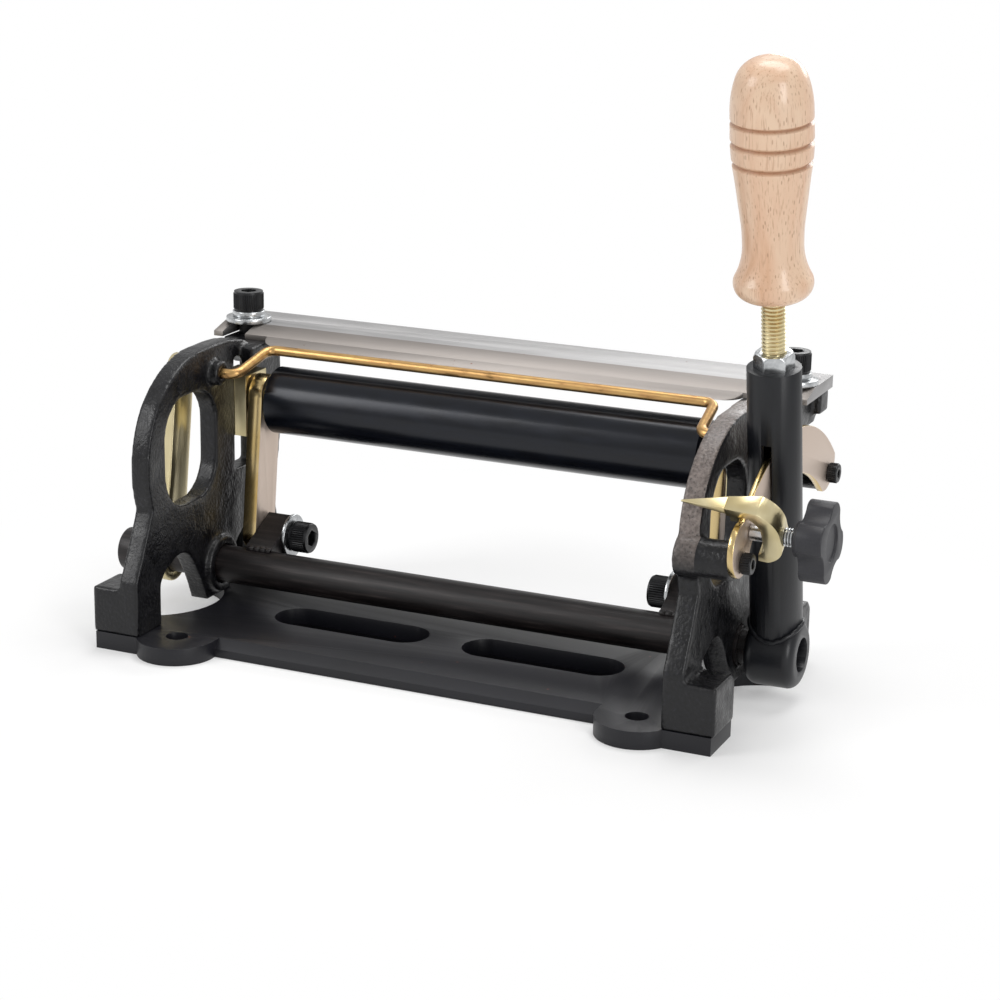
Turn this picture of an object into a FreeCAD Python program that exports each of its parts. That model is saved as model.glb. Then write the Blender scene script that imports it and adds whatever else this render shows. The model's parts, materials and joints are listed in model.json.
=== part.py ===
import FreeCAD, Part
import math
import os
import re

# Leather splitting machine.
# The frame's origin is the centre of the four foot holes, on the underside of the base plate.
# +X points to the lever side, +Y to the back and +Z up; every length is in millimetres.

doc = FreeCAD.newDocument("leather_splitter")
sheet = doc.addObject("Spreadsheet::Sheet", "Sizes")
Vector = FreeCAD.Vector

SIZES = {
    # base plate
    "base_half": 126, "base_front": -55.8, "base_rear": 55.5, "base_thick": 6.8,
    "base_hole_across": 95, "base_hole_deep": 47, "base_hole_radius": 4.35, "ear_radius": 15.5,
    "slab_front": -44.7, "slab_rear": 44.4, "base_edge_slope": 3.5,
    "waist_radius": 28.4, "waist_across": 130.7, "waist_deep": -6,
    "slot_inner": 7.8, "slot_outer": 73.6, "slot_deep": -5.4, "slot_radius": 10.1,
    # side frames
    "frame_inner": 107, "frame_thick": 8, "foot_outer": 127, "foot_top": 25, "foot_bevel": 3,
    "foot_front_end": -34.2, "foot_rear_start": 33,
    "hole_front": -32.5, "hole_rear": 5.8, "hole_low": 50.4, "hole_high": 94.3, "hole_round": 15,
    "boss_radius": 11.5, "boss_long": 3,
    "seat_height": 105.6, "seat_low": 93.5, "seat_front": 38.5, "seat_rear": 67.3, "seat_outer": 122.5,
    "seat_inner": 110, "rib_front": 57,
    "ledge_inner": 101, "ledge_low": 98.2, "ledge_front": 24.5, "ledge_rear": 57.5,
    "guide_low": 55.3, "guide_high": 102, "guide_half": 8.55, "wire_boss": 4.5, "wire_boss_radius": 5,
    # rocker shaft and its cranks
    "shaft_deep": 6.2, "shaft_high": 19.8, "shaft_radius": 7.55, "running_gap": 0.06,
    "journal_radius": 6.5, "journal_start": 116, "journal_end": 134, "shaft_left_end": 146,
    "crank_inner": 83, "crank_thick": 11.6, "crank_reach": 19.5, "crank_angle": 31.6,
    "bar_angle": 25.6, "bar_start": 3.5, "bar_end": 25.2, "bar_above": 7.8, "bar_below": 3.9,
    "collar_radius": 8.8, "collar_start": 138, "collar_end": 150,
    # cap screws, 5/16 inch
    "screw_radius": 3.97, "head_radius": 5.95, "head_long": 8, "socket_radius": 3.4, "socket_long": 4,
    "thread_chamfer": 0.6,
    "thin_washer": 1.6, "thin_washer_radius": 8.8,
    # roller, its guides and its links
    "roller_deep": 29, "roller_high": 84.5, "roller_radius": 13.5, "roller_chamfer": 0.8,
    "roller_half": 92, "axle_radius": 6, "axle_half": 113.6, "guide_inner": 102,
    "guide_block_below": 14.8, "guide_block_high": 25,
    "guide_flange_half": 8.4,
    "link_inner": 95, "link_thick": 6, "link_half": 7.85, "link_slack": 0.8,
    # blade and its fastenings
    "blade_half": 126.4, "edge_deep": 30.6, "blade_rear": 70.7, "blade_thick": 4.76,
    "bevel_deep": 17.1, "edge_half": 94.7, "relief_half": 101.5, "relief_deep": 37.8,
    "blade_screw_across": 117.1, "blade_screw_deep": 50.3, "blade_slot_half": 5.2, "blade_slot_end": 52,
    "blade_washer_radius": 9.25, "blade_washer": 2.2, "ring_radius": 6.6, "ring": 2.4,
    # guard wire
    "wire_radius": 2, "wire_pivot_deep": 4, "wire_pivot_high": 99.3, "wire_run_deep": 26.6,
    "wire_run_high": 105.2, "wire_half": 94.5, "wire_tip": 112.5, "wire_elbow": 96.6,
    # lever
    "lever_across": 129.2, "lever_lean": 10.2, "hub_half": 9.6, "hub_radius": 13, "hub_round": 3.9,
    "tube_radius": 9.7, "tube_bore": 7, "tube_top": 113.3, "plug_start": 98,
    "slot_half": 1.9, "slot_low": 58, "slot_high": 87, "nut_high": 5.6, "nut_radius": 7.33,
    "grip_low": 139.5, "grip_high": 223.8, "stud_top": 205, "ring_half": 2, "ring_depth": 0.9,
    # sector plate, stop clamp and knob
    "sector_inner": 66, "sector_outer": 79.5, "sector_crown": 82.5, "sector_tail": 85.5, "sector_thick": 2.4,
    "sector_start": 128,
    "front_hole_reach": 69.4, "front_hole_angle": 135.8, "rear_hole_reach": 76, "rear_hole_angle": 47.1,
    "lobe_radius": 7.5, "sector_lobe": 6.2, "small_head_radius": 3.6, "small_head": 4,
    "small_screw_radius": 2.4, "small_screw_long": 10.4, "small_socket_long": 2.4,
    "clamp_angle": 126.2, "clamp_half": 4.2, "clamp_top": 87, "clamp_bend": 136,
    "clamp_screw_reach": 71.3, "clamp_screw_radius": 3,
    "jaw_start": 124.4, "jaw_low": 76.9, "jaw_gap": 0.25, "jaw_roof": 83.6, "jaw_front": 0.6,
    "pointer_tip": 108.3, "pointer_low": 84, "pointer_aside": 2, "pointer_blunt": 0.3,
    "pointer_before": 3.4, "pointer_behind": 2.3,
    "knob_hub_start": 147.3, "knob_hub_radius": 6.4, "knob_start": 150.5, "knob_long": 9.3, "knob_sink": 9,
    "lobe_count": 4, "lobe_turn": 36, "lobe_tip": 14.3, "lobe_flank": 12.8, "lobe_waist": 10.4,
    "lobe_spread": 23,
    "knob_dish": 6.6, "knob_dish_deep": 0.8,
    # hidden screws under the feet and in the hub
    "foot_screw_across": 120.8, "foot_screw_deep": 45, "foot_screw_radius": 2.5, "foot_head_radius": 4.3,
    "foot_head": 3.6, "foot_screw_long": 18, "foot_sink": 0.6, "foot_socket": 2, "set_screw_radius": 3.2,
    # arm on the shaft's left end
    "arm_start": 127.6, "arm_thick": 5, "arm_half": 7, "arm_reach": 76, "arm_lean": -8,
}

for row, (alias, value) in enumerate(SIZES.items(), start=1):
    sheet.set("A%d" % row, alias)
    sheet.set("B%d" % row, str(value))
    sheet.setAlias("B%d" % row, alias)
doc.recompute()

PARTS = []


def size(alias):
    return float(getattr(sheet, alias))


def bind(item, **formulas):
    # Words in a formula are aliases of the sheet.
    for name, formula in formulas.items():
        path = name.replace("__", ".")
        item.setExpression(path, re.sub(r"\b([a-z_]+)\b(?!\()", r"Sizes.\1", formula))


def finish(item, label):
    item.Label = label
    PARTS.append(item)
    return item


def place(item, across="0", deep="0", high="0"):
    bind(item, Placement__Base__x=across, Placement__Base__y=deep, Placement__Base__z=high)
    return item


def along_x(item):
    item.Placement = FreeCAD.Placement(Vector(), FreeCAD.Rotation(Vector(0, 1, 0), 90))
    return item


def rod(radius, start, length, deep, high):
    # A cylinder along +X whose lower end is at X = start.
    item = along_x(doc.addObject("Part::Cylinder", "Rod"))
    bind(item, Radius=radius, Height=length)
    return place(item, start, deep, high)


def post(radius, length, across, deep, high):
    item = doc.addObject("Part::Cylinder", "Post")
    bind(item, Radius=radius, Height=length)
    return place(item, across, deep, high)


def box(length, width, height, across, deep, high):
    item = doc.addObject("Part::Box", "Block")
    bind(item, Length=length, Width=width, Height=height)
    return place(item, across, deep, high)


def hexagon(across_corner, length, rotation, across, deep, high):
    item = doc.addObject("Part::Prism", "Hex")
    item.Polygon = 6
    item.Placement = FreeCAD.Placement(Vector(), rotation)
    bind(item, Circumradius=across_corner, Height=length)
    return place(item, across, deep, high)


def cut(base, *tools):
    for tool in tools:
        result = doc.addObject("Part::Cut", "Cut")
        result.Base = base
        result.Tool = tool
        base = result
    return base


def chamfered(base, amount):
    # Both ends of a rod are chamfered.
    result = doc.addObject("Part::Chamfer", "Chamfer")
    result.Base = base
    doc.recompute()
    rims = [index for index, edge in enumerate(base.Shape.Edges, start=1)
            if edge.isClosed() and edge.Length > 0 and len(edge.Vertexes) == 1]
    result.Edges = [(index, amount, amount) for index in rims]
    return result


def fuse(*items):
    result = doc.addObject("Part::MultiFuse", "Fuse")
    result.Shapes = list(items)
    result.Refine = True
    return result


def origin_plane(body, role):
    return [feature for feature in body.Origin.OriginFeatures if feature.Role == role][0]


def curve(start, middle, end):
    # A straight stretch has no middle point; an arc passes through its own.
    first = Vector(start[0], start[1], 0)
    last = Vector(end[0], end[1], 0)
    if middle is None:
        return Part.LineSegment(first, last)
    return Part.Arc(first, Vector(middle[0], middle[1], 0), last)


def outline(first, *steps):
    # Each step is the next point, or a pair of an arc's middle point and its end.
    stretches = []
    here = first
    for step in steps + (first,):
        if isinstance(step[0], tuple):
            stretches.append((here, step[0], step[1]))
            here = step[1]
        else:
            if math.dist(here, step) > 1e-6:
                stretches.append((here, None, step))
            here = step
    return stretches


def circle(centre, radius):
    left = (centre[0] - radius, centre[1])
    right = (centre[0] + radius, centre[1])
    top = (centre[0], centre[1] + radius)
    low = (centre[0], centre[1] - radius)
    return [(left, top, right), (right, low, left)]


def flipped(point):
    return None if point is None else (-point[0], point[1])


def mirrored(stretches):
    return [tuple(flipped(point) for point in stretch) for stretch in stretches]


def sketch(body, plane, stretches, offset=0):
    item = body.newObject("Sketcher::SketchObject", "Profile")
    item.AttachmentSupport = (origin_plane(body, plane), [""])
    item.MapMode = "FlatFace"
    item.AttachmentOffset = FreeCAD.Placement(Vector(0, 0, offset), FreeCAD.Rotation())
    for start, middle, end in stretches:
        item.addGeometry(curve(start, middle, end), False)
    return item


def pad(body, plane, stretches, length, offset=0, back=False):
    item = body.newObject("PartDesign::Pad", "Pad")
    item.Profile = sketch(body, plane, stretches, offset)
    item.Reversed = back
    bind(item, Length=length)
    doc.recompute()
    return item


def pocket(body, plane, stretches, length, offset=0, back=False):
    item = body.newObject("PartDesign::Pocket", "Pocket")
    item.Profile = sketch(body, plane, stretches, offset)
    item.Reversed = back
    bind(item, Length=length)
    before = item.BaseFeature.Shape.Volume
    doc.recompute()
    assert item.Shape.Volume < before - 1, "a pocket missed its body"
    return item


def revolve(body, profile, axis, kind="PartDesign::Revolution"):
    item = body.newObject(kind, "Turned")
    item.Profile = sketch(body, "XZ_Plane", profile)
    item.ReferenceAxis = (origin_plane(body, axis), [""])
    item.Angle = 360
    doc.recompute()
    return item


def new_body(label):
    return finish(doc.addObject("PartDesign::Body", label), label)


def polar(reach, angle):
    # A point in the side view, from its distance and angle about the shaft axis.
    turn = math.radians(angle)
    return (size("shaft_deep") + reach * math.cos(turn), size("shaft_high") + reach * math.sin(turn))


SHAFT = ("shaft_deep", "shaft_high")
SIDES = (("left", -1), ("right", 1))


def from_side(side, near, thick):
    # The lower X of a stretch that starts at |X| = near and runs outwards.
    return near if side > 0 else "-(%s) - (%s)" % (near, thick)


# base plate
def base_plate():
    body = new_body("base_plate")
    half, ear = size("base_half"), size("ear_radius")
    hole = (size("base_hole_across"), size("base_hole_deep"))
    waist = (size("waist_across"), size("waist_deep"))
    bite = math.sqrt(size("waist_radius") ** 2 - (waist[0] - half) ** 2)

    def end(sign, edge, slab):
        # Half of the front or back edge, from the middle out to the foot's corner.
        deep = sign * hole[1]
        side = math.sqrt(ear ** 2 - (edge - deep) ** 2)
        join = (hole[0] - ear, slab)
        inner = (hole[0] - ear, deep)
        bulge = (hole[0], deep + sign * ear)
        return [((0, slab), None, join), (join, None, inner) if abs(slab - deep) > 1e-6 else None,
                (inner, (hole[0] - ear * math.sqrt(0.5), deep + sign * ear * math.sqrt(0.5)), bulge),
                (bulge, (hole[0] + side * 0.55, deep + sign * math.sqrt(ear ** 2 - (side * 0.55) ** 2)),
                 (hole[0] + side, edge)),
                ((hole[0] + side, edge), None, (half, edge))]

    front = [item for item in end(-1, size("base_front"), size("slab_front")) if item]
    rear = [item for item in end(1, size("base_rear"), size("slab_rear")) if item]
    low, high = (half, waist[1] - bite), (half, waist[1] + bite)
    flank = [((half, size("base_front")), None, low),
             (low, (waist[0] - size("waist_radius"), waist[1]), high),
             (high, None, (half, size("base_rear")))]
    right = front + flank + rear
    pad(body, "XY_Plane", right + mirrored(right), "base_thick")
    reach = size("slot_radius")
    deep = size("slot_deep")
    first, last = size("slot_inner") + reach, size("slot_outer") - reach
    slot = outline((first, deep - reach), (last, deep - reach), ((last + reach, deep), (last, deep + reach)),
                   (first, deep + reach), ((first - reach, deep), (first, deep - reach)))
    holes = circle(hole, size("base_hole_radius")) + circle((hole[0], -hole[1]), size("base_hole_radius"))
    pocket(body, "XY_Plane", slot + mirrored(slot) + holes + mirrored(holes), "base_thick", back=True)
    spots = [(x_side * size("foot_screw_across"), y_side * size("foot_screw_deep"))
             for x_side in (-1, 1) for y_side in (-1, 1)]
    for radius, depth in (("foot_screw_radius", "base_thick"), ("foot_head_radius", "foot_head + foot_sink")):
        rings = []
        for spot in spots:
            rings += circle(spot, size(radius))
        pocket(body, "XY_Plane", rings, depth, back=True)
    # the slab's long upper edges slope off between the ears
    high, slope = size("base_thick"), size("base_edge_slope")
    for sign, slab in ((1, size("slab_front")), (-1, size("slab_rear"))):
        wedge = outline((slab - sign, high - slope - 1), (slab + sign * (slope + 1), high + 1),
                        (slab - sign, high + 1))
        pocket(body, "YZ_Plane", wedge, "2 * (base_hole_across - ear_radius) - 0.2", 0.1 + ear - hole[0],
               True)


base_plate()


# side frames
def frame_outline():
    # The side view, drawn from the front foot round the head, the blade seat and the rear leg.
    low = size("base_thick")
    front, rear = size("base_front"), size("base_rear")
    seat = size("seat_height")
    return outline((front, low), (front, 28), ((-49, 41), (-42.8, 54)), ((-45.1, 76), (-36.6, 95.1)),
                   ((-21.6, 105.8), (0.7, 110.2)), ((15, 110), (29, 107.6)), (33.5, seat), (57.5, seat),
                   ((59.5, 80), (56.5, 52)), ((53.5, 38), (rear, 26)), (rear, low),
                   (36.5, low), (36.5, 22), ((31, 29.5), (25, 28)), ((19, 22), (15.5, low)),
                   (-3.4, low), ((-8, 17), (-14, 26.6)), ((-21, 31.2), (-30, 29)), ((-36, 26), (-38.2, 20)),
                   (-38.2, low))


def side_frame(name, side):
    body = new_body(name + "_frame")
    left = side < 0
    inner = side * size("frame_inner")
    outer = side * (size("frame_inner") + size("frame_thick"))
    shaft = (size("shaft_deep"), size("shaft_high"))
    pad(body, "YZ_Plane", frame_outline(), "frame_thick", inner, left)
    # feet outside the web
    for start, end in (("base_front", "foot_front_end"), ("foot_rear_start", "base_rear")):
        low, high = size("base_thick"), size("foot_top")
        bevel = size("foot_bevel")
        block = outline((size(start), low), (size(end), low), (size(end), high - bevel),
                        (size(end) - bevel, high), (size(start), high))
        pad(body, "YZ_Plane", block, "foot_outer - frame_inner - frame_thick", outer, left)
    # shaft boss inside, blade seat outside
    pad(body, "YZ_Plane", circle(shaft, size("boss_radius")), "boss_long", inner, not left)
    seat = outline((size("seat_front"), size("seat_height")), (size("seat_rear"), size("seat_height")),
                   (size("seat_rear"), size("seat_low") + 4), (size("seat_rear") - 5, size("seat_low")),
                   (size("seat_front") + 8, size("seat_low")), (size("seat_front"), size("seat_low") + 6))
    pad(body, "YZ_Plane", seat, "seat_outer - seat_inner", side * size("seat_inner"), left)
    rib = outline((size("rib_front"), size("seat_height")), (size("seat_rear"), size("seat_height")),
                  (size("seat_rear"), size("seat_low") + 4), (size("rib_front"), size("seat_low") + 4))
    pad(body, "YZ_Plane", rib, "base_half - seat_outer", side * size("seat_outer"), left)
    # ledge under the blade's end, and the boss that takes the guard wire, both on the inner face
    ledge = outline((size("ledge_front"), size("ledge_low")), (size("ledge_rear"), size("ledge_low")),
                    (size("ledge_rear"), size("seat_height")), (size("ledge_front"), size("seat_height")))
    pad(body, "YZ_Plane", ledge, "frame_inner - ledge_inner", inner, not left)
    wire = (size("wire_pivot_deep"), size("wire_pivot_high"))
    pad(body, "YZ_Plane", circle(wire, size("wire_boss_radius")), "wire_boss", inner, not left)
    tapped = circle((side * size("blade_screw_across"), size("blade_screw_deep")), size("screw_radius"))
    pocket(body, "XY_Plane", tapped, "seat_height - seat_low", size("seat_height"))
    if side > 0:
        front = polar(size("front_hole_reach"), size("front_hole_angle"))
        rear = polar(size("rear_hole_reach"), size("rear_hole_angle"))
        pad(body, "YZ_Plane", circle(front, size("lobe_radius")), "frame_thick", inner, left)
        for spot in (front, rear):
            pad(body, "YZ_Plane", circle(spot, size("lobe_radius") - 0.5),
                "sector_start - frame_inner - frame_thick", outer, left)
            pocket(body, "YZ_Plane", circle(spot, size("small_screw_radius")),
                   "small_screw_long + 1 - sector_thick", side * size("sector_start"))
    for deep in (-size("foot_screw_deep"), size("foot_screw_deep")):
        threaded = circle((side * size("foot_screw_across"), deep), size("foot_screw_radius"))
        pocket(body, "XY_Plane", threaded, "foot_screw_long + 1 - base_thick", size("base_thick"), True)
    # window, shaft bore, wire hole and roller guide
    near, far = size("hole_front"), size("hole_rear")
    bottom, top, turn = size("hole_low"), size("hole_high"), size("hole_round")
    lean = turn * (1 - math.sqrt(0.5))
    window = outline((near + turn, bottom), (far - turn, bottom),
                     ((far - lean, bottom + lean), (far, bottom + turn)),
                     (far, top - turn), ((far - lean, top - lean), (far - turn, top)), (near + turn, top),
                     ((near + lean, top - lean), (near, top - turn)), (near, bottom + turn),
                     ((near + lean, bottom + lean), (near + turn, bottom)))
    pocket(body, "YZ_Plane", window, "frame_thick", inner, not left)
    bore = circle(shaft, size("shaft_radius") + size("running_gap"))
    start = side * (size("frame_inner") - size("boss_long"))
    pocket(body, "YZ_Plane", bore, "frame_thick + boss_long", start, not left)
    pocket(body, "YZ_Plane", circle(wire, size("wire_radius") + size("running_gap")),
           "wire_tip + 1 - frame_inner + wire_boss", inner - side * size("wire_boss"), not left)
    near, far = size("roller_deep") - size("guide_half"), size("roller_deep") + size("guide_half")
    guide = outline((near, size("guide_low")), (far, size("guide_low")), (far, size("guide_high")),
                    (near, size("guide_high")))
    pocket(body, "YZ_Plane", guide, "frame_thick", inner, not left)


for name, side in SIDES:
    side_frame(name, side)


# rocker shaft, turned down at both ends for the hub and the collar
def rocker_shaft():
    middle = rod("shaft_radius", "-(frame_inner + frame_thick + 1)",
                 "2 * (frame_inner + frame_thick + 1)", *SHAFT)
    right = rod("journal_radius", "journal_start", "journal_end - journal_start", *SHAFT)
    left = rod("journal_radius", "-shaft_left_end", "shaft_left_end - journal_start", *SHAFT)
    finish(fuse(middle, right, left), "rocker_shaft")


rocker_shaft()


# cranks, their pivot screws and the link bars
def crank(name, side):
    # A square bar, coped to the shaft's upper rear and welded there.
    body = new_body("crank_arm_" + name)
    turn = math.radians(size("bar_angle"))

    def corner(along, above):
        # A point of the bar, along it from the shaft axis and square to it.
        return (size("shaft_deep") + along * math.cos(turn) - above * math.sin(turn),
                size("shaft_high") + along * math.sin(turn) + above * math.cos(turn))

    start, end = size("bar_start"), size("bar_end")
    above, below = size("bar_above"), -size("bar_below")
    shape = outline(corner(start, above), corner(end, above), corner(end, below), corner(start, below))
    near = side * size("crank_inner")
    pad(body, "YZ_Plane", shape, "crank_thick", near, side < 0)
    coped = circle((size("shaft_deep"), size("shaft_high")), size("shaft_radius"))
    pin = circle(polar(size("crank_reach"), size("crank_angle")), size("screw_radius"))
    pocket(body, "YZ_Plane", coped, "crank_thick", near, side > 0)
    pocket(body, "YZ_Plane", pin, "crank_thick", near, side > 0)


def crank_pin(name, side):
    deep = "shaft_deep + crank_reach * cos(crank_angle)"
    high = "shaft_high + crank_reach * sin(crank_angle)"
    washer_in = "crank_inner - thin_washer"
    disc = rod("thin_washer_radius", from_side(side, washer_in, "thin_washer"), "thin_washer", deep, high)
    hole = rod("screw_radius", from_side(side, washer_in, "thin_washer"), "thin_washer", deep, high)
    finish(cut(disc, hole), "link_washer_" + name)
    head_in = washer_in + " - head_long"
    shank_long = "thin_washer + crank_thick + link_inner - crank_inner - crank_thick + link_thick + 1"
    head = rod("head_radius", from_side(side, head_in, "head_long"), "head_long", deep, high)
    shank = rod("screw_radius", from_side(side, washer_in, shank_long), shank_long, deep, high)
    socket = hexagon("socket_radius", "socket_long", FreeCAD.Rotation(Vector(0, 1, 0), 90),
                     from_side(side, head_in, "socket_long"), deep, high)
    finish(cut(fuse(head, shank), socket), "link_screw_" + name)


def link(name, side):
    body = new_body("link_bar_" + name)
    pin = polar(size("crank_reach"), size("crank_angle"))
    top = (size("roller_deep"), size("roller_high"))
    lean = math.atan2(top[1] - pin[1], top[0] - pin[0])
    half = size("link_half")

    def around(centre, radius, angle):
        return (centre[0] + radius * math.cos(lean + angle), centre[1] + radius * math.sin(lean + angle))

    quarter, wide = math.pi / 2, half + 2
    shape = outline(around(pin, half, quarter), (around(pin, half, 2 * quarter), around(pin, half, -quarter)),
                    around(top, half, -quarter), (around(top, wide, 0), around(top, half, quarter)))
    holes = circle(pin, size("screw_radius") + size("link_slack"))
    holes += circle(top, size("axle_radius") + size("running_gap"))
    pad(body, "YZ_Plane", shape + holes, "link_thick", side * size("link_inner"), side < 0)


for name, side in SIDES:
    crank(name, side)
    crank_pin(name, side)
    link(name, side)


# roller, its axle and the guide blocks
def roller():
    place_here = ("roller_deep", "roller_high")
    drum = rod("roller_radius", "-roller_half", "2 * roller_half", *place_here)
    bore = rod("axle_radius", "-roller_half", "2 * roller_half", *place_here)
    finish(cut(chamfered(drum, size("roller_chamfer")), bore), "roller")
    finish(rod("axle_radius", "-axle_half", "2 * axle_half", *place_here), "roller_axle")


def guide_block(name, side):
    flange_long = "frame_inner - guide_inner - running_gap"
    flange_deep = "roller_deep - guide_flange_half"
    low = "roller_high - guide_block_below"
    flange = box(flange_long, "2 * guide_flange_half", "guide_block_high",
                 from_side(side, "guide_inner", flange_long), flange_deep, low)
    slider_long = "frame_thick + running_gap"
    slider_near = "frame_inner - running_gap"
    slider = box(slider_long, "2 * (guide_half - running_gap)", "guide_block_high",
                 from_side(side, slider_near, slider_long), "roller_deep - guide_half + running_gap", low)
    through = "frame_inner + frame_thick - guide_inner"
    bore = rod("axle_radius + running_gap", from_side(side, "guide_inner", through), through, "roller_deep",
               "roller_high")
    finish(cut(fuse(flange, slider), bore), "guide_block_" + name)


roller()
for name, side in SIDES:
    guide_block(name, side)


# fixed blade: a flat plate, ground to one bevel, with relieved and slotted ends
def blade():
    body = new_body("blade")
    half = size("blade_half")
    edge, rear = size("edge_deep"), size("blade_rear")
    relief, near = size("relief_deep"), size("edge_half")
    wide = size("relief_half")
    slot, across = size("blade_slot_half"), size("blade_screw_across")
    end = size("blade_slot_end")
    right = [((0, edge), None, (near, edge)),
             ((near, edge), (near + 4.6, edge + 2.2), (wide, relief)),
             ((wide, relief), None, (across - slot, relief)),
             ((across - slot, relief), None, (across - slot, end)),
             ((across - slot, end), (across, end + slot), (across + slot, end)),
             ((across + slot, end), None, (across + slot, relief)),
             ((across + slot, relief), None, (half, relief)),
             ((half, relief), None, (half, rear)),
             ((half, rear), None, (0, rear))]
    pad(body, "XY_Plane", right + mirrored(right), "blade_thick", size("seat_height"))
    low, high = size("seat_height"), size("seat_height") + size("blade_thick")
    start = edge + 0.15
    shaving = outline((edge - 5, low + 0.12), (start, low + 0.12), (start + size("bevel_deep"), high + 0.12),
                      (start + size("bevel_deep"), high + 5), (edge - 5, high + 5))
    pocket(body, "YZ_Plane", shaving, "2 * blade_half", -half, True)


def blade_fastening(name, side):
    across = "blade_screw_across" if side > 0 else "-blade_screw_across"
    top = "seat_height + blade_thick"
    spot = (across, "blade_screw_deep")
    washer = post("blade_washer_radius", "blade_washer", *spot, top)
    finish(cut(washer, post("screw_radius + 0.2", "blade_washer", *spot, top)), "blade_washer_" + name)
    above = top + " + blade_washer"
    ring = cut(post("ring_radius", "ring", *spot, above), post("screw_radius + 0.2", "ring", *spot, above))
    finish(ring, "lock_ring_" + name)
    above += " + ring"
    head = post("head_radius", "head_long", *spot, above)
    shank_long = "seat_height - seat_low - 1 + blade_thick + blade_washer + ring"
    shank = post("screw_radius", shank_long, *spot, "seat_low + 1")
    socket = hexagon("socket_radius", "socket_long", FreeCAD.Rotation(), *spot,
                     above + " + head_long - socket_long")
    finish(cut(fuse(head, shank), socket), "blade_screw_" + name)


blade()
for name, side in SIDES:
    blade_fastening(name, side)


# guard wire: one bent rod whose ends pivot in the frames
def guard_wire():
    half, tip = size("wire_half"), size("wire_tip")
    run = Vector(0, size("wire_run_deep"), size("wire_run_high"))
    pivot = Vector(0, size("wire_pivot_deep"), size("wire_pivot_high"))
    radius = size("wire_radius")
    corners = [Vector(-tip, 0, 0) + pivot, Vector(-size("wire_elbow"), 0, 0) + pivot, Vector(-half, 0, 0) + run,
               Vector(half, 0, 0) + run, Vector(size("wire_elbow"), 0, 0) + pivot, Vector(tip, 0, 0) + pivot]
    bend = 2.2 * radius
    edges = []
    here = corners[0]
    for before, corner, after in zip(corners, corners[1:], corners[2:]):
        back = (before - corner).normalize()
        ahead = (after - corner).normalize()
        turn = math.acos(back.dot(ahead))
        reach = bend / math.tan(turn / 2)
        middle = (back + ahead).normalize() * (bend / math.sin(turn / 2) - bend) + corner
        edges.append(Part.LineSegment(here, corner + back * reach).toShape())
        edges.append(Part.Arc(corner + back * reach, middle, corner + ahead * reach).toShape())
        here = corner + ahead * reach
    edges.append(Part.LineSegment(here, corners[-1]).toShape())
    path = Part.Wire(edges)
    section = Part.Wire(Part.Circle(corners[0], Vector(1, 0, 0), radius).toShape())
    item = doc.addObject("Part::Feature", "GuardWire")
    item.Shape = path.makePipeShell([section], True, True)
    length = sum(edge.Length for edge in edges)
    assert abs(item.Shape.Volume / (math.pi * radius ** 2 * length) - 1) < 0.01
    finish(item, "guard_wire")


guard_wire()


# lever: hub, slotted tube, stud, jam nut and wooden grip, built upright and then leaned forward
def lean(item):
    turn = FreeCAD.Rotation(Vector(1, 0, 0), size("lever_lean"))
    base = Vector(size("lever_across"), size("shaft_deep"), size("shaft_high"))
    item.Placement = FreeCAD.Placement(base, turn).multiply(item.Placement)
    return item


def upright(radius, start, length):
    return post(radius, length, "0", "0", start)


def lever():
    hub = new_body("lever_hub")
    wide, out, turn = size("hub_half"), size("hub_radius"), size("hub_round")
    lean_part = turn * (1 - math.sqrt(0.5))
    inner = size("journal_radius")
    profile = outline((-wide, inner), (wide, inner), (wide, out - turn),
                      ((wide - lean_part, out - lean_part), (wide - turn, out)), (turn - wide, out),
                      ((lean_part - wide, out - lean_part), (-wide, out - turn)))
    revolve(hub, profile, "X_Axis")
    threaded = circle((0, 0), size("set_screw_radius"))
    pocket(hub, "XZ_Plane", threaded, "hub_radius + 1", -size("hub_radius") - 1, True)
    lean(hub)
    tube = upright("tube_radius", "8", "tube_top - 8")
    bore = upright("tube_bore", "0", "plug_start")
    stud_hole = upright("screw_radius", "plug_start - 1", "tube_top - plug_start + 2")
    saddle = along_x(doc.addObject("Part::Cylinder", "Saddle"))
    bind(saddle, Radius="hub_radius", Height="4 * hub_half")
    place(saddle, "-2 * hub_half")
    gate = box("2 * slot_half", "4 * tube_radius", "slot_high - slot_low", "-slot_half", "-2 * tube_radius",
               "slot_low")
    finish(lean(cut(tube, bore, stud_hole, saddle, gate)), "lever_tube")
    stud = upright("screw_radius", "plug_start", "stud_top - plug_start")
    finish(lean(chamfered(stud, size("thread_chamfer"))), "handle_stud")
    nut = hexagon("nut_radius", "nut_high", FreeCAD.Rotation(Vector(0, 0, 1), 20), "0", "0", "tube_top")
    dome = doc.addObject("Part::Cone", "NutDome")
    bind(dome, Radius1="nut_radius + 2", Radius2="nut_radius - 0.8", Height="nut_high")
    place(dome, high="tube_top")
    corners = doc.addObject("Part::Common", "NutCorners")
    corners.Base, corners.Tool = nut, dome
    hole = upright("screw_radius", "tube_top", "nut_high")
    finish(lean(cut(corners, hole)), "jam_nut")


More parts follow.
